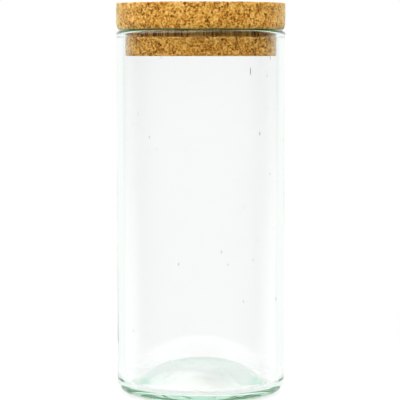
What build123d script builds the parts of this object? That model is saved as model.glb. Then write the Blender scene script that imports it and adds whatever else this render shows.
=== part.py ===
from build123d import *
import os
from math import sqrt

# Storage jar of pressed recycled glass, closed by a cork lid that pushes into its mouth.
# Millimetres, +Z up, origin on the plane that the jar stands on, under the jar's axis.

# Glass body
body_diameter = 99.6
wall_thickness = 4.6
jar_height = 215.0  # from the standing plane to the top of the rim
heel_radius = 7.5  # outside, between the wall and the foot
foot_width = 5.0  # of the flat ring that the jar stands on
foot_inner_edge_radius = 2.5

# Base, pushed up in the middle: domed inside, hollow underneath
punt_rise = 14.2
floor_thickness = 5.6  # of the glass on the axis
moat_floor_thickness = 5.0  # of the glass at the lowest point inside, around the dome
moat_radius = 4.5  # of the rounded trough between the dome and the wall
dome_shoulder_radius = 34.0
dome_flattening_share = 1.4  # crown radius over that of a plain round dome that just meets the moat

# Fire-polished rim: a round bead that stands a little proud of the wall outside
rim_swell = 0.4
rim_neck_radius = 1.5

# Cork lid: two discs cut from one sheet and glued face to face
cap_thickness = 16.0
cap_overhang = 0.4  # beyond the glass body, all round
cap_top_edge_radius = 0.7
cap_lower_edge_inset = 1.3
cap_lower_edge_height = 4.5
plug_thickness = 15.5
plug_edge_radius = 0.6

# Clearances of the lid
mouth_clearance = 0.3  # between the plug and the mouth, all round
seat_gap = 0.3  # between the cap and the top of the rim

# Worked out from the sizes above
body_radius = body_diameter / 2
mouth_radius = body_radius - wall_thickness
foot_outer_radius = body_radius - heel_radius
punt_radius = foot_outer_radius - foot_width
bead_radius = (wall_thickness + rim_swell) / 2
bead_centre_height = jar_height - bead_radius
cap_underside = jar_height + seat_gap
cap_radius = body_radius + cap_overhang
plug_radius = mouth_radius - mouth_clearance


def arc_about(centre, start, end):
    """Arc of less than half a turn from start to end, both equally far from centre."""
    middle = (start + end) / 2 - centre
    on_arc = centre + middle.normalized() * (start - centre).length
    return ThreePointArc(start, on_arc, end)


def upper_meeting_point(centre_a, reach_a, centre_b, reach_b):
    """The higher of the two points at reach_a from centre_a and at reach_b from centre_b, with b right of a."""
    step = centre_b - centre_a
    along = (reach_a**2 - reach_b**2 + step.length**2) / (2 * step.length)
    across = sqrt(reach_a**2 - along**2)
    direction = step.normalized()
    upward = Vector(-direction.Y, direction.X)
    return centre_a + direction * along + upward * across


def point_towards(centre, target, radius):
    """The point of the circle about centre that lies towards target."""
    return centre + (target - centre).normalized() * radius


def rounded(section, corner, radius):
    """The section with its vertex nearest to corner rounded."""
    return fillet(section.vertices().sort_by_distance(corner)[0], radius)


def outside_section():
    """Half section of the jar as if it were solid: axis, wall, heel, foot ring and punt."""
    punt_arc_radius = (punt_radius**2 + punt_rise**2) / (2 * punt_rise)
    punt_centre = Vector(0, punt_rise - punt_arc_radius)
    with BuildSketch() as section:
        with BuildLine():
            Polyline(
                (0, punt_rise),
                (0, bead_centre_height),
                (body_radius, bead_centre_height),
                (body_radius, 0),
                (punt_radius, 0),
            )
            arc_about(punt_centre, Vector(punt_radius, 0), Vector(0, punt_rise))
        make_face()
    with_heel = rounded(section.sketch, (body_radius, 0), heel_radius)
    return rounded(with_heel, (punt_radius, 0), foot_inner_edge_radius)


def inside_section():
    """Half section of the space inside: crown, shoulder and moat as tangent arcs, then the straight bore."""
    crown_top = Vector(0, punt_rise + floor_thickness)
    moat_centre = Vector(mouth_radius - moat_radius, moat_floor_thickness + moat_radius)
    fall = crown_top.Y - moat_centre.Y
    round_dome_radius = (moat_centre.X**2 + fall**2 - moat_radius**2) / (2 * (fall + moat_radius))
    dome_crown_radius = round_dome_radius * dome_flattening_share
    crown_centre = crown_top - Vector(0, dome_crown_radius)
    shoulder_centre = upper_meeting_point(
        crown_centre,
        dome_crown_radius - dome_shoulder_radius,
        moat_centre,
        dome_shoulder_radius + moat_radius,
    )
    crown_end = point_towards(crown_centre, shoulder_centre, dome_crown_radius)
    shoulder_end = point_towards(shoulder_centre, moat_centre, dome_shoulder_radius)
    moat_end = Vector(mouth_radius, moat_centre.Y)
    with BuildSketch() as section:
        with BuildLine():
            arc_about(crown_centre, crown_top, crown_end)
            arc_about(shoulder_centre, crown_end, shoulder_end)
            arc_about(moat_centre, shoulder_end, moat_end)
            Polyline(moat_end, (mouth_radius, jar_height), (0, jar_height), crown_top)
        make_face()
    return section.sketch


def rim_bead_section():
    """Section of the bead that melts round the mouth when the cut edge is fire polished."""
    centre = (mouth_radius + bead_radius, bead_centre_height)
    with BuildSketch() as section:
        with Locations(centre):
            Circle(bead_radius)
    return section.sketch


def glass_jar():
    """The whole glass body, spun from one section."""
    section = outside_section() - inside_section() + rim_bead_section()
    neck_depth = sqrt(bead_radius**2 - (bead_radius - rim_swell) ** 2)
    neck = (body_radius, bead_centre_height - neck_depth)
    return revolve(Plane.XZ * rounded(section, neck, rim_neck_radius), Axis.Z)


def cap_disc():
    """Upper cork disc: sharp at the top, and eased below, where hands lift it."""
    top = cap_underside + cap_thickness
    side_foot = Vector(cap_radius, cap_underside + cap_lower_edge_height)
    underside_rim = Vector(cap_radius - cap_lower_edge_inset, cap_underside)
    with BuildSketch() as section:
        with BuildLine():
            TangentArc(side_foot, underside_rim, tangent=(0, -1))
            Polyline(underside_rim, (0, cap_underside), (0, top), (cap_radius, top), side_foot)
        make_face()
    disc = rounded(section.sketch, (cap_radius, top), cap_top_edge_radius)
    return revolve(Plane.XZ * disc, Axis.Z)


def plug_disc():
    """Lower cork disc, glued under the cap, a snug fit in the mouth."""
    bottom = cap_underside - plug_thickness
    with BuildSketch() as section:
        with BuildLine():
            Polyline(
                (0, bottom),
                (plug_radius, bottom),
                (plug_radius, cap_underside),
                (0, cap_underside),
                close=True,
            )
        make_face()
    disc = rounded(section.sketch, (plug_radius, bottom), plug_edge_radius)
    return revolve(Plane.XZ * disc, Axis.Z)


nodes = {
    "glass_jar": glass_jar(),
    "cork_cap_disc": cap_disc(),
    "cork_plug_disc": plug_disc(),
}
os.makedirs("parts", exist_ok=True)
for name, solid in nodes.items():
    export_step(solid, f"parts/{name}.step")
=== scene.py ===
import math
import random

import bpy
from bpy.props import FloatProperty, FloatVectorProperty, IntProperty, PointerProperty
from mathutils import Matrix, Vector


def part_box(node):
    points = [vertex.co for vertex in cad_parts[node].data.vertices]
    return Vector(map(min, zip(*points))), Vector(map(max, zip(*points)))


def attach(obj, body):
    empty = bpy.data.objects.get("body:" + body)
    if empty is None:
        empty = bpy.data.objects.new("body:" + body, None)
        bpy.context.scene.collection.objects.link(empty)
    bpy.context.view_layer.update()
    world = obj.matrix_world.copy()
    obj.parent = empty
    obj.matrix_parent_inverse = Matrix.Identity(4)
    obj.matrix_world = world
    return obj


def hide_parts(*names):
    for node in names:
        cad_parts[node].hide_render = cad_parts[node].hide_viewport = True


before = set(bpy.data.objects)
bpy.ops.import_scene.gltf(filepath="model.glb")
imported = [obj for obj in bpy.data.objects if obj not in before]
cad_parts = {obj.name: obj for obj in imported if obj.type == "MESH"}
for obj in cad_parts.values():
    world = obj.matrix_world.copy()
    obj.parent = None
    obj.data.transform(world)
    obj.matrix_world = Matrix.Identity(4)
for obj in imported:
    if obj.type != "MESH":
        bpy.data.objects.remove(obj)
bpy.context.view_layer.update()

bl_info = {
    "name": "Cork-lidded glass jar",
    "version": (1, 0, 0),
    "blender": (4, 5, 0),
    "location": "3D View > Sidebar > Jar",
    "description": "Dresses a jar of recycled glass and its cork lid, and sets up a studio for it",
    "category": "Object",
}

_, JAR_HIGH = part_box("glass_jar")
CAP_LOW, CAP_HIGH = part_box("cork_cap_disc")
PLUG_LOW, PLUG_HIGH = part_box("cork_plug_disc")

MM = 0.001
WHITE = (1.0, 1.0, 1.0)

# Side of the square photograph, and the column of the jar's axis in it, in its pixels
PHOTO_SIZE = 400
AXIS_COLUMN = 200.8

# How finely outlines are divided and spun
GLASS_FINENESS = 20
GLASS_TURNS = 224
CORK_FINENESS = 8
CORK_TURNS = 256
MERGE_REACH = 0.002 * MM

# Glass
NECK = 1.5 * MM  # radius of the hollow under the rim's bead
WAVE_SIZE = 28 * MM
MOUTH_FADE = 30 * MM  # height over which the waves come in below the plug
FOOT_FADE = 6 * MM  # width over which they come in beside the foot ring
DOWNWARD = -0.2  # upward part of a normal, under which a vertex belongs to the underside
RIPPLE_SIZE = 9 * MM
RIPPLE_DEPTH = 0.05 * MM

# Larger seeds that the photograph shows in the wall: column, row, length in mm, and 1 for the near wall
SEED_MARKS = (
    (162.0, 57.5, 0.9, 1),
    (268.5, 58.0, 1.8, 1),
    (249.5, 71.5, 4.6, 1),
    (265.5, 76.0, 1.2, 1),
    (190.0, 82.0, 0.5, 0),
    (198.0, 95.0, 0.5, 1),
    (140.0, 114.0, 0.8, 1),
    (271.0, 110.0, 1.1, 0),
    (275.5, 109.0, 0.8, 1),
    (180.5, 130.0, 0.5, 0),
    (258.5, 133.5, 2.4, 1),
    (150.5, 137.0, 1.2, 1),
    (281.5, 140.0, 3.4, 1),
    (158.0, 149.0, 0.7, 1),
    (185.0, 149.0, 0.5, 0),
    (268.0, 174.0, 1.0, 1),
    (241.0, 180.0, 0.8, 0),
    (188.5, 196.0, 0.6, 1),
    (243.0, 207.0, 0.9, 1),
    (262.5, 240.0, 1.0, 0),
    (221.0, 252.0, 1.1, 1),
    (179.0, 264.0, 1.0, 1),
    (227.5, 264.5, 1.0, 1),
    (252.0, 260.0, 1.0, 1),
    (273.5, 299.0, 2.4, 1),
    (242.5, 301.5, 0.9, 1),
    (135.0, 330.5, 1.1, 1),
    (266.0, 365.0, 1.2, 0),
)

# Form of the seeds
PINCH_START = 0.25  # of a seed's length, from its middle
PINCH = 0.72  # width that is left at the tips
LARGE_WIDTH = 0.46  # in mm, before the length's share is added
LARGE_WIDENING = 0.07  # share of the length that is added to the width
LARGE_TIPS = 0.3  # length in mm that the pinched tips add to what is seen

# Fine seeds, scattered at random
FINE_START = 5  # number that the random draws start from
FINE_SPREAD = 0.25  # of the wall's thickness, to either side of its middle
FINE_LOWEST = 12 * MM
FINE_WIDTHS = (0.18, 0.36)  # in mm
FINE_STRETCH = (1.0, 2.4)  # length over width

# Grain of the cork
WARP_SIZE = 2.2 * MM
WARP_REACH = 0.9 * MM  # how far the granules' outlines are pushed about
WHOLE_SHARE = 0.42  # of the coarse granules, while the others are broken into fine ones
SOUND_SHARE = 0.9  # of the fine granules, while the others are pits

# Relief of the cork's mesh
SEAM_WIDTH = 0.32 * MM
SEAM_DEPTH = 0.22 * MM
PIT_SIDE = (0.05 * MM, 0.45 * MM)  # from the granule's edge: where a pit begins and is full
PIT_DEPTH = 0.75 * MM
TONE_DEPTH = 0.12 * MM  # by which granules lie unevenly deep
LUMP_SIZE = 9 * MM
LUMP_DEPTH = 0.25 * MM

# Shade of the cork, from bark at the low end to pale at the high end
SPECK_SIZE = 1.2 * MM
SPECK_SHARE = 0.7
FIBRE_SIZE = 0.5 * MM
FIBRE_SHARE = 0.3
GRANULE_SHIFT = 0.20  # from the darkest to the palest granule
SEAM_LINE = (0.02 * MM, 0.20 * MM)  # from the granule's edge: where the seam's shade is full and ends
SEAM_SHIFT = 0.05
PIT_SHIFT = 0.12
SHADE_STOPS = (0.27, 0.36, 0.45, 0.54, 0.66)  # bark, brown, tan, gold and pale

# Bumps of the cork, finer than its mesh
EDGE_ROUNDING = 0.25 * MM
EDGE_BUMP = 0.4
SHADE_BUMP = 0.8
BUMP_DEPTH = 0.25 * MM

# Floor
FLOOR_RADIUS = 300 * MM
FOOT_GAP = 0.2 * MM  # air between the foot and the floor, without which light would leak out of the foot
FLOOR_SHADE = 0.72
FLOOR_LIFT = 0.5  # share of plain white in the floor as it is seen
CAMERA_FADE = (0.09, 0.28)  # way from the jar's axis over which the floor fades for the camera
GLASS_FADE = (0.07, 0.16)  # the same where the floor is seen by way of glass
GLASS_CLEAR = 0.4  # how far it has faded there under the jar

# Light. Its depths and flags are whole numbers, and are compared with values between them
GLASS_BOUNCES = 160  # light runs round inside the foot many times before it leaves
ANY = 0.5
MORE_THAN_ONCE = 1.5

# Soft box overhead, by the height of a direction: 0 is the horizon and 1 straight up
BOX_EDGE = 0.22
MIRRORED_BOX_EDGE = 0.78
BOX_SOFTNESS = 0.14
MIRRORED_BOX_LEAN = 0.6  # to the left
BOX_REACH = (-0.6, 0.3)  # how far a direction points at the camera where the box begins and is full

# Low wall behind the jar, a little brighter on the left
WALL_MIDDLE = 0.5  # at the jar's sides
WALL_BACKWARD = 0.45  # more straight behind
WALL_LEFTWARD = 0.12  # more on the left
WALL_FALL = 1.5  # exponent that makes it fall off faster
WALL_TOP = (0.3, 0.9)  # heights between which the wall ends

# Room as the glass mirrors it
ROOM_SHADES = ((0.00, 0.95), (0.12, 0.90), (0.22, 0.10), (0.50, 0.03))  # 0 is straight down, 0.5 level
MIRRORED_SIDES = (0.18, 0.88)  # how far back a direction points where the backdrop begins and is full
FLOOR_DEPTH = 0.17  # below the horizon, where the white floor has come forward wholly
FLOOR_FORWARD = 0.25
GLOW_HEIGHTS = (0.05, 0.25)
INNER_GLOW = 0.4  # light from above in glass that has been entered

# Backdrop behind the glass, brighter than white, and a little warm, so that thin glass looks neutral
BACKDROP_GLOW = 1.115
HORIZON_DEPTH = 0.04
LOWER_GLOW = 0.03  # more below the horizon
THROUGH_GLASS = (1.0, 0.978, 0.988)


class GlassSettings(bpy.types.PropertyGroup):
    """Sizes and colour of the glass body."""

    wall: FloatProperty(
        name="Wall", description="Thickness of the straight wall",
        default=4.6 * MM, min=1 * MM, subtype="DISTANCE", unit="LENGTH")
    heel: FloatProperty(
        name="Heel radius", description="Outside rounding between the wall and the foot",
        default=7.5 * MM, min=1 * MM, subtype="DISTANCE", unit="LENGTH")
    foot: FloatProperty(
        name="Foot width", description="Width of the flat ring that the jar stands on",
        default=5.0 * MM, min=1 * MM, subtype="DISTANCE", unit="LENGTH")
    foot_edge: FloatProperty(
        name="Foot edge radius", description="Rounding between the foot ring and the punt",
        default=2.5 * MM, min=0.5 * MM, subtype="DISTANCE", unit="LENGTH")
    punt_rise: FloatProperty(
        name="Punt rise", description="How far the underside is pushed up on the axis",
        default=14.2 * MM, min=1 * MM, subtype="DISTANCE", unit="LENGTH")
    floor: FloatProperty(
        name="Floor thickness", description="Thickness of the base on the axis",
        default=5.6 * MM, min=1 * MM, subtype="DISTANCE", unit="LENGTH")
    moat_floor: FloatProperty(
        name="Moat floor", description="Thickness of the glass at the lowest point inside",
        default=5.0 * MM, min=1 * MM, subtype="DISTANCE", unit="LENGTH")
    moat: FloatProperty(
        name="Moat radius", description="Rounding of the trough between the dome and the wall",
        default=4.5 * MM, min=1 * MM, subtype="DISTANCE", unit="LENGTH")
    shoulder: FloatProperty(
        name="Dome shoulder radius", description="Radius of the dome's steep outer part",
        default=34.0 * MM, min=5 * MM, subtype="DISTANCE", unit="LENGTH")
    flattening: FloatProperty(
        name="Dome flattening", description="Crown radius over that of a plain round dome",
        default=1.4, min=1.05, max=3.0)
    swell: FloatProperty(
        name="Rim swell", description="How far the bead stands out beyond the wall",
        default=0.40 * MM, min=0.05 * MM, subtype="DISTANCE", unit="LENGTH")
    waviness: FloatProperty(
        name="Waviness", description="Depth of the slow unevenness of the glass inside",
        default=0.35 * MM, min=0.0, subtype="DISTANCE", unit="LENGTH")
    absorbed: FloatVectorProperty(
        name="Tint", description="Colour of light after a long way through the glass",
        default=(0.30, 0.80, 0.56), size=3, min=0.0, max=1.0, subtype="COLOR")
    density: FloatProperty(
        name="Tint density", description="Absorption per metre", default=6.5, min=0.0)
    seeds: IntProperty(
        name="Fine seeds", description="Number of fine air seeds scattered in the wall",
        default=90, min=0, max=400)


class CorkSettings(bpy.types.PropertyGroup):
    """Grain and colours of the agglomerated cork."""

    granule: FloatProperty(
        name="Coarse granule", description="Usual width of a coarse granule",
        default=2.8 * MM, min=0.5 * MM, subtype="DISTANCE", unit="LENGTH")
    crumb: FloatProperty(
        name="Fine granule", description="Usual width of a fine granule between the coarse ones",
        default=1.4 * MM, min=0.3 * MM, subtype="DISTANCE", unit="LENGTH")
    mesh_step: FloatProperty(
        name="Mesh step", description="Size of the mesh's faces",
        default=0.52 * MM, min=0.3 * MM, subtype="DISTANCE", unit="LENGTH")
    pale: FloatVectorProperty(
        name="Pale granules", description="Colour of the palest granules",
        default=(0.84, 0.53, 0.165), size=3, min=0.0, max=1.0, subtype="COLOR")
    tan: FloatVectorProperty(
        name="Tan granules", description="Colour of most granules",
        default=(0.55, 0.24, 0.030), size=3, min=0.0, max=1.0, subtype="COLOR")
    gold: FloatVectorProperty(
        name="Golden granules", description="Colour of the paler half of the granules",
        default=(0.69, 0.36, 0.060), size=3, min=0.0, max=1.0, subtype="COLOR")
    brown: FloatVectorProperty(
        name="Brown granules", description="Colour of the darker granules",
        default=(0.26, 0.095, 0.010), size=3, min=0.0, max=1.0, subtype="COLOR")
    bark: FloatVectorProperty(
        name="Bark flecks", description="Colour of pits and flecks of bark",
        default=(0.09, 0.026, 0.004), size=3, min=0.0, max=1.0, subtype="COLOR")


class StageSettings(bpy.types.PropertyGroup):
    """Camera and light of the studio."""

    eye_height: FloatProperty(
        name="Eye height", description="Height of the camera above the floor",
        default=204.0 * MM, subtype="DISTANCE", unit="LENGTH")
    eye_distance: FloatProperty(
        name="Eye distance", description="Distance of the camera from the jar's axis",
        default=1250.0 * MM, subtype="DISTANCE", unit="LENGTH")
    eye_pitch: FloatProperty(
        name="Eye pitch", description="How far the camera looks down",
        default=math.radians(4.1), subtype="ANGLE", unit="ROTATION")
    lens_pixels: FloatProperty(
        name="Focal length in pixels", description="Focal length in the photograph's pixels",
        default=2105.0, min=100.0)
    soft_box: FloatProperty(
        name="Soft box", description="Brightness of the soft box overhead, against a white wall at 1",
        default=2.68, min=0.0)
    back_wall: FloatProperty(
        name="Back wall", description="How much light the wall behind the jar throws on its cork",
        default=2.3, min=0.0)


class Wire:
    """A node's output. Sums written with it add Math nodes."""

    def __init__(self, graph, socket):
        self.graph = graph
        self.socket = socket

    def also(self, name):
        """Another output of the same node."""
        return Wire(self.graph, self.socket.node.outputs[name])

    def maths(self, operation, *values):
        """The result of a Math node."""
        sockets = dict(enumerate(values))
        return self.graph.add("ShaderNodeMath", {"operation": operation}, sockets)

    def __add__(self, other):
        return self.maths("ADD", self, other)

    __radd__ = __add__

    def __sub__(self, other):
        return self.maths("SUBTRACT", self, other)

    def __rsub__(self, other):
        return self.maths("SUBTRACT", other, self)

    def __mul__(self, other):
        return self.maths("MULTIPLY", self, other)

    __rmul__ = __mul__

    def __pow__(self, other):
        return self.maths("POWER", self, other)

    def __rpow__(self, other):
        return self.maths("POWER", other, self)

    def __lt__(self, other):
        return self.maths("LESS_THAN", self, other)

    def __gt__(self, other):
        return self.maths("GREATER_THAN", self, other)


class Graph:
    """A node tree that is filled one node at a time."""

    def __init__(self, tree):
        tree.nodes.clear()
        self.tree = tree

    def add(self, kind, settings=None, sockets=None, output=0):
        """Adds a node, makes its settings, then fills its sockets, and gives one of its outputs."""
        node = self.tree.nodes.new(kind)
        for name, value in (settings or {}).items():
            if name == "stops":
                self.fill_ramp(node.color_ramp, value)
            else:
                setattr(node, name, value)
        for name, value in (sockets or {}).items():
            if isinstance(value, Wire):
                self.tree.links.new(value.socket, node.inputs[name])
            else:
                node.inputs[name].default_value = value
        return Wire(self, node.outputs[output]) if node.outputs else None

    @staticmethod
    def fill_ramp(ramp, stops):
        while len(ramp.elements) < len(stops):
            ramp.elements.new(1.0)
        for element, (place, colour) in zip(ramp.elements, stops):
            element.position = place
            element.color = opaque(colour)

    def step(self, value, low, high):
        """0 below low, 1 above high, and smooth between them."""
        sockets = {"Value": value, "From Min": low, "From Max": high}
        return self.add("ShaderNodeMapRange", {"interpolation_type": "SMOOTHSTEP"}, sockets)

    def blend(self, share, first, second):
        """first where share is 0 and second where it is 1, as numbers."""
        return self.add("ShaderNodeMix", {"data_type": "FLOAT"}, {0: share, 2: first, 3: second})

    def tint(self, share, first, second):
        """The same for two colours."""
        sockets = {0: share, 6: first, 7: second}
        return self.add("ShaderNodeMix", {"data_type": "RGBA"}, sockets, output=2)

    def noise(self, place, width, detail=2.0):
        """Noise whose lumps are about this wide, in metres."""
        sockets = {"Vector": place, "Scale": 1.0 / width, "Detail": detail}
        return self.add("ShaderNodeTexNoise", {"noise_dimensions": "3D"}, sockets)

    def cells(self, place, width, feature):
        """Voronoi cells about this wide, in metres."""
        sockets = {"Vector": place, "Scale": 1.0 / width, "Randomness": 1.0}
        return self.add("ShaderNodeTexVoronoi", {"feature": feature}, sockets)


def opaque(colour):
    """A colour with full alpha, as colour sockets take it."""
    return (*colour, 1.0)


def deselect_all():
    """Leaves nothing selected, so that the next operator acts on its own piece alone."""
    if bpy.context.mode != "OBJECT":
        bpy.ops.object.mode_set(mode="OBJECT")
    bpy.ops.object.select_all(action="DESELECT")


def apply_modifiers(piece):
    """Applies a piece's modifiers in their order, with the piece alone selected."""
    deselect_all()
    piece.select_set(True)
    bpy.context.view_layer.objects.active = piece
    for modifier in list(piece.modifiers):
        bpy.ops.object.modifier_apply(modifier=modifier.name)


def give_material(piece, material):
    """Makes this the piece's one material."""
    piece.data.materials.clear()
    piece.data.materials.append(material)


def fresh_material(name):
    """A material with an empty node tree."""
    material = bpy.data.materials.new(name)
    material.use_nodes = True
    return material, Graph(material.node_tree)


class Outline:
    """A half section: radius to the right and height upwards, as straight and round stretches."""

    def __init__(self, start):
        self.points = [start]
        self.centres = []

    def line(self, *ends):
        """Straight stretches, from each point to the next."""
        for end in ends:
            self.points.append(end)
            self.centres.append(None)

    def arc(self, centre, end):
        """A round stretch of less than half a turn."""
        self.points.append(end)
        self.centres.append(centre)

    def handles(self, index):
        """The two Bezier handles of one stretch, as offsets from its ends."""
        start, end, centre = self.points[index], self.points[index + 1], self.centres[index]
        if centre is None:
            return (end - start) / 3, (start - end) / 3
        turn = (start - centre).angle_signed(end - centre)
        reach = -4 / 3 * math.tan(turn / 4)
        first, last = start - centre, end - centre
        return Vector((-first.y, first.x)) * reach, Vector((last.y, -last.x)) * reach

    def spin(self, name, fineness, turns):
        """Draws the outline as a curve, makes it a mesh and spins it round the axis."""
        deselect_all()
        bpy.ops.curve.primitive_bezier_curve_add(radius=self.points[0].length, location=(0, 0, 0))
        piece = bpy.context.object
        piece.name = name
        piece.data.resolution_u = fineness
        spline = piece.data.splines[0]
        spline.bezier_points.add(len(self.points) - len(spline.bezier_points))
        for knot, point in zip(spline.bezier_points, self.points):
            knot.handle_left_type = knot.handle_right_type = "FREE"
            knot.co = knot.handle_left = knot.handle_right = (point.x, 0, point.y)
        for index in range(len(self.centres)):
            out, back = self.handles(index)
            here, there = spline.bezier_points[index], spline.bezier_points[index + 1]
            here.handle_right = here.co + Vector((out.x, 0, out.y))
            there.handle_left = there.co + Vector((back.x, 0, back.y))
        bpy.ops.object.convert(target="MESH")
        piece.data.name = name
        bpy.ops.object.mode_set(mode="EDIT")
        bpy.ops.mesh.select_all(action="SELECT")
        bpy.ops.mesh.spin(steps=turns, angle=math.tau, center=(0, 0, 0), axis=(0, 0, 1))
        bpy.ops.mesh.select_all(action="SELECT")
        bpy.ops.mesh.remove_doubles(threshold=MERGE_REACH)
        bpy.ops.mesh.normals_make_consistent(inside=False)
        bpy.ops.object.mode_set(mode="OBJECT")
        bpy.ops.object.shade_smooth()
        return piece


def flat(radius, height):
    """A point of a half section."""
    return Vector((radius, height))


def towards(centre, target, radius):
    """The point of the circle about centre that lies towards target."""
    return centre + (target - centre).normalized() * radius


def upper_meeting(centre_a, reach_a, centre_b, reach_b):
    """The higher of the two points at reach_a from centre_a and at reach_b from centre_b."""
    step = centre_b - centre_a
    along = (reach_a**2 - reach_b**2 + step.length_squared) / (2 * step.length)
    across = math.sqrt(reach_a**2 - along**2)
    direction = step.normalized()
    return centre_a + direction * along + Vector((-direction.y, direction.x)) * across


def wall_radii(glass):
    """Radii of the straight wall, outside and inside."""
    body = JAR_HIGH.x - glass.swell
    return body, body - glass.wall


def jar_outline(glass):
    """The glass body's section, from the dome's top out over the rim and back under to the punt."""
    rim_top = JAR_HIGH.z
    bead = (glass.wall + glass.swell) / 2
    body, bore = wall_radii(glass)

    # Dome, moat and bore
    crown_top = flat(0, glass.punt_rise + glass.floor)
    moat_centre = flat(bore - glass.moat, glass.moat_floor + glass.moat)
    fall = crown_top.y - moat_centre.y
    round_dome = (moat_centre.x**2 + fall**2 - glass.moat**2) / (2 * (fall + glass.moat))
    crown = round_dome * glass.flattening
    crown_centre = crown_top - flat(0, crown)
    shoulder_centre = upper_meeting(
        crown_centre, crown - glass.shoulder, moat_centre, glass.shoulder + glass.moat)
    outline = Outline(crown_top)
    outline.arc(crown_centre, towards(crown_centre, shoulder_centre, crown))
    outline.arc(shoulder_centre, towards(shoulder_centre, moat_centre, glass.shoulder))
    outline.arc(moat_centre, flat(bore, moat_centre.y))

    # Bead of the rim, and the hollow under it
    bead_centre = flat(bore + bead, rim_top - bead)
    outline.line(flat(bore, bead_centre.y))
    outline.arc(bead_centre, flat(bead_centre.x, rim_top))
    neck_reach = bead + NECK
    neck_x = body + NECK
    neck_drop = math.sqrt(neck_reach**2 - (neck_x - bead_centre.x) ** 2)
    neck_centre = flat(neck_x, bead_centre.y - neck_drop)
    outline.arc(bead_centre, flat(bead_centre.x + bead, bead_centre.y))
    outline.arc(bead_centre, towards(bead_centre, neck_centre, bead))
    outline.arc(neck_centre, flat(body, neck_centre.y))

    # Wall outside, heel, foot ring and punt
    outline.line(flat(body, glass.heel))
    outline.arc(flat(body - glass.heel, glass.heel), flat(body - glass.heel, 0))
    punt_foot = body - glass.heel - glass.foot
    punt = (punt_foot**2 + glass.punt_rise**2) / (2 * glass.punt_rise)
    punt_centre = flat(0, glass.punt_rise - punt)
    edge_reach = punt + glass.foot_edge
    edge_y = glass.foot_edge
    edge_x = math.sqrt(edge_reach**2 - (edge_y - punt_centre.y) ** 2)
    edge_centre = flat(edge_x, edge_y)
    outline.line(flat(edge_x, 0))
    outline.arc(edge_centre, towards(edge_centre, punt_centre, glass.foot_edge))
    outline.arc(punt_centre, flat(0, glass.punt_rise))
    return outline


def waver(piece, depth, group):
    """Moves a group of the glass's vertices slowly in and out, as hand-worked glass is uneven."""
    clouds = bpy.data.textures.new("slow_waves", "CLOUDS")
    clouds.noise_scale = WAVE_SIZE
    clouds.noise_depth = 1
    displace = piece.modifiers.new("waver", "DISPLACE")
    displace.texture = clouds
    displace.texture_coords = "LOCAL"
    displace.strength = depth
    displace.mid_level = 0.5
    displace.vertex_group = group
    apply_modifiers(piece)


def mark_inside(piece, glass):
    """A vertex group for the bore, the dome and the punt, fading towards the mouth and the foot."""
    body, bore = wall_radii(glass)
    punt_foot = body - glass.heel - glass.foot
    just_outside = bore + 0.1 * MM
    group = piece.vertex_groups.new(name="inside")
    for vertex in piece.data.vertices:
        radius = math.hypot(vertex.co.x, vertex.co.y)
        if radius > just_outside:
            continue
        if vertex.normal.z < DOWNWARD:
            weight = (punt_foot - radius) / FOOT_FADE
        else:
            weight = (PLUG_LOW.z - vertex.co.z) / MOUTH_FADE
        group.add([vertex.index], min(1.0, max(0.0, weight)), "REPLACE")
    return group.name


def glass_material(glass):
    """Clear glass whose green shows only where light goes a long way through it."""
    material, graph = fresh_material("recycled_glass")
    place = graph.add("ShaderNodeTexCoord", output="Object")
    ripple = graph.noise(place, RIPPLE_SIZE, detail=1.0)
    bump = graph.add("ShaderNodeBump", None, {
        "Strength": 0.25,
        "Distance": RIPPLE_DEPTH,
        "Height": ripple,
    })
    surface = graph.add("ShaderNodeBsdfPrincipled", None, {
        "Base Color": opaque(WHITE),
        "Roughness": 0.0,
        "IOR": 1.52,
        "Transmission Weight": 1.0,
        "Normal": bump,
    })
    inside = graph.add("ShaderNodeVolumeAbsorption", None, {
        "Color": opaque(glass.absorbed),
        "Density": glass.density,
    })
    graph.add("ShaderNodeOutputMaterial", None, {"Surface": surface, "Volume": inside})
    return material


class JAR_OT_glass_body(bpy.types.Operator):
    """Spins the glass body from its section and gives it recycled glass"""

    bl_idname = "jar.glass_body"
    bl_label = "Glass body"

    def execute(self, context):
        glass = context.scene.jar_glass
        body = jar_outline(glass).spin("glass_body", GLASS_FINENESS, GLASS_TURNS)
        waver(body, glass.waviness, mark_inside(body, glass))
        give_material(body, glass_material(glass))
        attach(body, "jar")
        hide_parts("glass_jar")
        return {"FINISHED"}


def wall_point(stage, radius, column, row, near):
    """Where the sight line through one of the photograph's pixels meets the near or the far wall."""
    eye = Vector((0, -stage.eye_distance, stage.eye_height))
    right = (column - AXIS_COLUMN) / stage.lens_pixels
    up = (PHOTO_SIZE / 2 - row) / stage.lens_pixels
    tilt = stage.eye_pitch
    sight = Vector((right, math.cos(tilt) + up * math.sin(tilt), up * math.cos(tilt) - math.sin(tilt)))
    spread = sight.x**2 + sight.y**2
    along = eye.y * sight.y
    apart = math.sqrt(max(0.0, along**2 - spread * (eye.y**2 - radius**2)))
    return eye + sight * (((-along - apart) if near else (-along + apart)) / spread)


def seed_form(name, fineness):
    """An air seed one metre long and wide, to be scaled, its ends pinched as in drawn glass."""
    deselect_all()
    bpy.ops.mesh.primitive_ico_sphere_add(subdivisions=fineness, radius=0.5, location=(0, 0, 0))
    form = bpy.context.object
    form.name = name
    for end in (1, -1):
        for vertex in form.data.vertices:
            vertex.select = vertex.co.z * end > PINCH_START
        bpy.ops.object.mode_set(mode="EDIT")
        bpy.ops.transform.resize(value=(PINCH, PINCH, 1.0), center_override=(0, 0, 0))
        bpy.ops.mesh.select_all(action="DESELECT")
        bpy.ops.object.mode_set(mode="OBJECT")
    return form


def trap_seed(form, place, width, length):
    """Puts a copy of a seed, with its own mesh, into the wall."""
    seed = form.copy()
    seed.data = form.data.copy()
    seed.location = place
    seed.scale = (width, width, length)
    bpy.context.collection.objects.link(seed)
    return seed


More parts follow.
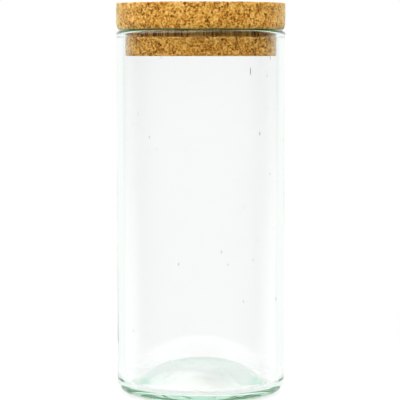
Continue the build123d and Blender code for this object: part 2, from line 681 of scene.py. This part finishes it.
def seed_material():
    """Air trapped in the glass, whose grey base colour is painted shade: it stands in for the dark edges
    that a bubble shows by refraction, so that it reads as a small grey speck.
    """
    material, graph = fresh_material("trapped_air_painted_shade")
    surface = graph.add("ShaderNodeBsdfPrincipled", None, {
        # painted shade: grey in place of the dark edges an air bubble shows by refraction
        "Base Color": opaque((0.40, 0.42, 0.41)),
        "Roughness": 0.1,
        "IOR": 1.25,
        "Transmission Weight": 1.0,
    })
    graph.add("ShaderNodeOutputMaterial", None, {"Surface": surface})
    return material


class JAR_OT_glass_seeds(bpy.types.Operator):
    """Traps air seeds in the glass wall, the larger ones where the photograph shows them"""

    bl_idname = "jar.glass_seeds"
    bl_label = "Glass seeds"

    def execute(self, context):
        glass, stage = context.scene.jar_glass, context.scene.jar_stage
        middle = wall_radii(glass)[0] - glass.wall / 2
        large = seed_form("large_seed", fineness=2)
        fine = seed_form("fine_seed", fineness=1)
        seeds = []
        for column, row, length, near in SEED_MARKS:
            place = wall_point(stage, middle, column, row, near)
            width = (LARGE_WIDTH + LARGE_WIDENING * length) * MM
            seeds.append(trap_seed(large, place, width, (length + LARGE_TIPS) * MM))
        chance = random.Random(FINE_START)
        for _ in range(glass.seeds):
            turn = chance.uniform(0, math.tau)
            radius = middle + chance.uniform(-FINE_SPREAD, FINE_SPREAD) * glass.wall
            height = chance.uniform(FINE_LOWEST, PLUG_LOW.z)
            place = (radius * math.cos(turn), radius * math.sin(turn), height)
            width = chance.uniform(*FINE_WIDTHS) * MM
            seeds.append(trap_seed(fine, place, width, width * chance.uniform(*FINE_STRETCH)))
        for form in (large, fine):
            bpy.data.objects.remove(form)
        deselect_all()
        for seed in seeds:
            seed.select_set(True)
        piece = seeds[0]
        bpy.context.view_layer.objects.active = piece
        bpy.ops.object.join()
        piece.name = piece.data.name = "glass_seeds"
        bpy.ops.object.transform_apply(location=True, rotation=True, scale=True)
        bpy.ops.object.shade_smooth()
        give_material(piece, seed_material())
        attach(piece, "jar")
        return {"FINISHED"}


def granules(graph, place, width):
    """Granules of one size: their own numbers, as parts of a vector, and the way to their edge."""
    numbers = graph.cells(place, width, "F1").also("Color")
    edge = graph.cells(place, width, "DISTANCE_TO_EDGE") * width
    return graph.add("ShaderNodeSeparateXYZ", None, {0: numbers}), edge


def cork_grain(graph, place, cork):
    """Granules of two sizes: the way to their edge, a number of their own, and which are pits."""
    warp = graph.noise(place, WARP_SIZE).also("Color")
    pushed = graph.add("ShaderNodeVectorMath", {"operation": "MULTIPLY_ADD"}, {
        0: warp,
        1: (WARP_REACH, WARP_REACH, WARP_REACH),
        2: place,
    })
    coarse, coarse_edge = granules(graph, pushed, cork.granule)
    fine, fine_edge = granules(graph, pushed, cork.crumb)
    crumbled = coarse > WHOLE_SHARE
    edge = graph.blend(crumbled, coarse_edge, fine_edge)
    tone = graph.blend(crumbled, coarse.also("Y"), fine.also("Y"))
    pit = (fine > SOUND_SHARE) * crumbled
    return edge, tone, pit


def rough_modifier(piece, cork):
    """Sinks the seams between granules, and the pits, into the cork's mesh."""
    tree = bpy.data.node_groups.new("cork_relief", "GeometryNodeTree")
    tree.interface.new_socket("Mesh", in_out="INPUT", socket_type="NodeSocketGeometry")
    tree.interface.new_socket("Mesh", in_out="OUTPUT", socket_type="NodeSocketGeometry")
    graph = Graph(tree)
    mesh = graph.add("NodeGroupInput")
    place = graph.add("GeometryNodeInputPosition")
    normal = graph.add("GeometryNodeInputNormal")
    edge, tone, pit = cork_grain(graph, place, cork)
    seam = 1 - graph.step(edge, 0.0, SEAM_WIDTH)
    hollow = graph.step(edge, *PIT_SIDE) * pit
    lumps = graph.noise(place, LUMP_SIZE)
    depth = seam * SEAM_DEPTH + hollow * PIT_DEPTH + tone * TONE_DEPTH + lumps * LUMP_DEPTH
    sunk = {0: normal, "Scale": depth * -1.0}
    inwards = graph.add("ShaderNodeVectorMath", {"operation": "SCALE"}, sunk)
    moved = graph.add("GeometryNodeSetPosition", None, {"Geometry": mesh, "Offset": inwards})
    graph.add("NodeGroupOutput", None, {0: moved})
    modifier = piece.modifiers.new("relief", "NODES")
    modifier.node_group = tree


def cork_material(cork):
    """Agglomerated cork: granules of many tans, dark seams, pits and flecks of bark."""
    material, graph = fresh_material("agglomerated_cork")
    place = graph.add("ShaderNodeTexCoord", output="Object")
    edge, tone, pit = cork_grain(graph, place, cork)
    specks = graph.noise(place, SPECK_SIZE)
    fibre = graph.noise(place, FIBRE_SIZE, detail=1.0)
    seam = 1 - graph.step(edge, *SEAM_LINE)
    mottle = specks * SPECK_SHARE + fibre * FIBRE_SHARE
    shade = mottle + (tone - 0.5) * GRANULE_SHIFT - seam * SEAM_SHIFT - pit * PIT_SHIFT
    colours = (cork.bark, cork.brown, cork.tan, cork.gold, cork.pale)
    stops = tuple(zip(SHADE_STOPS, colours))
    colour = graph.add("ShaderNodeValToRGB", {"stops": stops}, {0: shade})
    bump = graph.add("ShaderNodeBump", None, {
        "Strength": 0.6,
        "Distance": BUMP_DEPTH,
        "Height": graph.step(edge, 0.0, EDGE_ROUNDING) * EDGE_BUMP + shade * SHADE_BUMP,
    })
    surface = graph.add("ShaderNodeBsdfPrincipled", None, {
        "Base Color": colour,
        "Roughness": 0.45,
        "Specular IOR Level": 0.14,
        "Specular Tint": opaque((0.95, 1.0, 0.60)),
        "Sheen Weight": 1.0,
        "Sheen Roughness": 0.3,
        "Sheen Tint": opaque((0.93, 1.0, 0.60)),
        "Normal": bump,
    })
    graph.add("ShaderNodeOutputMaterial", None, {"Surface": surface})
    return material


def cap_outline():
    """Upper disc: nearly sharp above, eased below, where hands lift it."""
    radius, top, bottom = CAP_HIGH.x, CAP_HIGH.z, CAP_LOW.z
    edge = 0.7 * MM
    ease_inset = 1.3 * MM
    ease_height = 4.5 * MM
    ease = (ease_inset**2 + ease_height**2) / (2 * ease_inset)
    outline = Outline(flat(0, top))
    outline.line(flat(radius - edge, top))
    outline.arc(flat(radius - edge, top - edge), flat(radius, top - edge))
    outline.line(flat(radius, bottom + ease_height))
    outline.arc(flat(radius - ease, bottom + ease_height), flat(radius - ease_inset, bottom))
    outline.line(flat(0, bottom))
    return outline


def plug_outline():
    """Lower disc, with a small round at its lower edge."""
    radius, top, bottom = PLUG_HIGH.x, PLUG_HIGH.z, PLUG_LOW.z
    edge = 0.6 * MM
    outline = Outline(flat(0, top))
    outline.line(flat(radius, top), flat(radius, bottom + edge))
    outline.arc(flat(radius - edge, bottom + edge), flat(radius - edge, bottom))
    outline.line(flat(0, bottom))
    return outline


def cork_disc(name, outline, node, material, cork):
    """One disc: spun, divided into small even faces, and roughened."""
    disc = outline.spin(name, CORK_FINENESS, CORK_TURNS)
    remesh = disc.modifiers.new("even_faces", "REMESH")
    remesh.mode = "VOXEL"
    remesh.voxel_size = cork.mesh_step
    remesh.use_smooth_shade = True
    rough_modifier(disc, cork)
    apply_modifiers(disc)
    give_material(disc, material)
    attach(disc, "lid")
    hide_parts(node)


class JAR_OT_cork_lid(bpy.types.Operator):
    """Makes the two cork discs of the lid"""

    bl_idname = "jar.cork_lid"
    bl_label = "Cork lid"

    def execute(self, context):
        cork = context.scene.jar_cork
        material = cork_material(cork)
        cork_disc("cork_cap", cap_outline(), "cork_cap_disc", material, cork)
        cork_disc("cork_plug", plug_outline(), "cork_plug_disc", material, cork)
        return {"FINISHED"}


def seen_directly(path):
    """1 for light that reaches the camera from the room itself, also by way of glass."""
    seen = path.also("Is Camera Ray") + path.also("Is Glossy Ray") + path.also("Is Transmission Ray")
    return (seen > ANY) * (path.also("Diffuse Depth") < ANY)


def lay_floor():
    """A pale floor that keeps the jar's shadow and goes over into the white backdrop."""
    deselect_all()
    bpy.ops.mesh.primitive_circle_add(
        vertices=96, radius=FLOOR_RADIUS, fill_type="NGON", location=(0, 0, -FOOT_GAP))
    floor = bpy.context.object
    floor.name = floor.data.name = "floor"
    material, graph = fresh_material("pale_floor")
    place = graph.add("ShaderNodeTexCoord", output="Object")
    away = graph.add("ShaderNodeVectorMath", {"operation": "LENGTH"}, {0: place}, output="Value")
    path = graph.add("ShaderNodeLightPath")
    seen = seen_directly(path)
    pale = opaque((FLOOR_SHADE, FLOOR_SHADE, FLOOR_SHADE))
    matt = graph.add("ShaderNodeBsdfDiffuse", None, {"Color": pale})
    white = graph.add("ShaderNodeEmission", None, {"Color": opaque(WHITE), "Strength": 1.0})
    lifted = graph.add("ShaderNodeMixShader", None, {0: seen * FLOOR_LIFT, 1: matt, 2: white})
    clear = graph.add("ShaderNodeBsdfTransparent")
    camera_fade = graph.step(away, *CAMERA_FADE)
    glass_fade = GLASS_CLEAR + graph.step(away, *GLASS_FADE) * (1 - GLASS_CLEAR)
    fade = graph.blend(path.also("Is Camera Ray"), glass_fade, camera_fade) * seen
    mixed = graph.add("ShaderNodeMixShader", None, {0: fade, 1: lifted, 2: clear})
    graph.add("ShaderNodeOutputMaterial", None, {"Surface": mixed})
    give_material(floor, material)


def overhead_box(graph, right, height, seen):
    """The soft box overhead, which is smaller and leans to the left where glass mirrors it."""
    edge = graph.blend(seen, BOX_EDGE, MIRRORED_BOX_EDGE)
    leaning = height - right * (seen * MIRRORED_BOX_LEAN)
    return graph.step(leaning, edge, edge + BOX_SOFTNESS) * (height > 0.0)


def falling_light(graph, right, back, height, box, wall_strength):
    """What lights the cork and the floor: the box on the camera's side, and a low wall behind."""
    near_box = box * graph.step(back * -1.0, *BOX_REACH)
    wall = (back * WALL_BACKWARD - right * WALL_LEFTWARD + WALL_MIDDLE) ** WALL_FALL
    low_wall = wall * (1 - graph.step(height, *WALL_TOP))
    return graph.blend(low_wall, near_box, wall_strength)


def mirrored_room(graph, path, back, height, box):
    """What glass mirrors: in front a dark room with the box, at the sides and behind the backdrop."""
    stops = tuple((place, (shade, shade, shade)) for place, shade in ROOM_SHADES)
    room = graph.add("ShaderNodeValToRGB", {"stops": stops}, {0: height * 0.5 + 0.5})
    forward = graph.step(height * -1.0, 0.0, FLOOR_DEPTH) * FLOOR_FORWARD
    beside = graph.step(back + forward, *MIRRORED_SIDES)
    entered = path.also("Transmission Depth") > ANY
    glow = entered * graph.step(height, *GLOW_HEIGHTS) * INNER_GLOW
    once = graph.blend(beside, room, 1.0) + (box + glow) * (1 - beside)
    return graph.blend(path.also("Glossy Depth") > MORE_THAN_ONCE, once, 1.0)


def plain_backdrop(graph, path, height):
    """The backdrop: white for the camera, and a little brighter where it is seen through glass."""
    behind_glass = BACKDROP_GLOW + graph.step(height * -1.0, 0.0, HORIZON_DEPTH) * LOWER_GLOW
    return graph.blend(path.also("Is Camera Ray"), behind_glass, 1.0)


def light_room(stage):
    """One soft room that lights the jar and is mirrored in its glass, with a white backdrop."""
    world = bpy.data.worlds.new("studio")
    bpy.context.scene.world = world
    world.use_nodes = True
    graph = Graph(world.node_tree)
    path = graph.add("ShaderNodeLightPath")
    seen = seen_directly(path)
    toward = graph.add("ShaderNodeTexCoord", output="Generated")
    right = graph.add("ShaderNodeSeparateXYZ", None, {0: toward})
    back = right.also("Y")
    height = right.also("Z")
    box = overhead_box(graph, right, height, seen) * stage.soft_box
    lighting = falling_light(graph, right, back, height, box, stage.back_wall)
    mirrored = mirrored_room(graph, path, back, height, box)
    beyond = plain_backdrop(graph, path, height)
    mirror_depth = path.also("Glossy Depth")
    shown = graph.blend(mirror_depth > ANY, beyond, mirrored)
    strength = graph.blend(seen, lighting, shown)
    straight_through = (mirror_depth < ANY) * path.also("Is Transmission Ray")
    colour = graph.tint(straight_through, opaque(WHITE), opaque(THROUGH_GLASS))
    background = graph.add("ShaderNodeBackground", None, {"Color": colour, "Strength": strength})
    graph.add("ShaderNodeOutputWorld", None, {"Surface": background})


def place_camera(stage):
    """The photograph's view."""
    deselect_all()
    bpy.ops.object.camera_add(location=(0, -stage.eye_distance, stage.eye_height))
    camera = bpy.context.object
    camera.name = camera.data.name = "camera"
    camera.rotation_euler = (math.radians(90) - stage.eye_pitch, 0, 0)
    camera.data.lens = stage.lens_pixels * camera.data.sensor_width / PHOTO_SIZE
    camera.data.shift_x = (PHOTO_SIZE / 2 - AXIS_COLUMN) / PHOTO_SIZE
    camera.data.clip_start = 0.01
    camera.data.clip_end = 50.0
    bpy.context.scene.camera = camera


class JAR_OT_stage(bpy.types.Operator):
    """Sets the pale floor, the soft light, the camera and how far light is followed through glass"""

    bl_idname = "jar.stage"
    bl_label = "Stage"

    def execute(self, context):
        scene = context.scene
        stage = scene.jar_stage
        lay_floor()
        light_room(stage)
        place_camera(stage)
        scene.view_settings.view_transform = "Standard"
        scene.cycles.max_bounces = GLASS_BOUNCES
        scene.cycles.glossy_bounces = GLASS_BOUNCES
        scene.cycles.transmission_bounces = GLASS_BOUNCES
        scene.cycles.blur_glossy = 0.0
        return {"FINISHED"}


class JAR_PT_panel(bpy.types.Panel):
    """Lists the jar's pieces and the stage"""

    bl_idname = "JAR_PT_panel"
    bl_label = "Cork-lidded jar"
    bl_space_type = "VIEW_3D"
    bl_region_type = "UI"
    bl_category = "Jar"

    def draw(self, context):
        layout = self.layout
        for operator in OPERATORS:
            layout.operator(operator.bl_idname)
        for group in (context.scene.jar_glass, context.scene.jar_cork, context.scene.jar_stage):
            box = layout.box()
            for name in group.bl_rna.properties.keys():
                if name not in ("rna_type", "name"):
                    box.prop(group, name)


OPERATORS = (JAR_OT_stage, JAR_OT_glass_body, JAR_OT_glass_seeds, JAR_OT_cork_lid)
CLASSES = (GlassSettings, CorkSettings, StageSettings, *OPERATORS, JAR_PT_panel)


def register():
    for cls in CLASSES:
        bpy.utils.register_class(cls)
    bpy.types.Scene.jar_glass = PointerProperty(type=GlassSettings)
    bpy.types.Scene.jar_cork = PointerProperty(type=CorkSettings)
    bpy.types.Scene.jar_stage = PointerProperty(type=StageSettings)


def unregister():
    del bpy.types.Scene.jar_stage
    del bpy.types.Scene.jar_cork
    del bpy.types.Scene.jar_glass
    for cls in reversed(CLASSES):
        bpy.utils.unregister_class(cls)


def main():
    """Makes every piece in order."""
    register()
    bpy.ops.jar.stage()
    bpy.ops.jar.glass_body()
    bpy.ops.jar.glass_seeds()
    bpy.ops.jar.cork_lid()


if __name__ == "__main__":
    main()
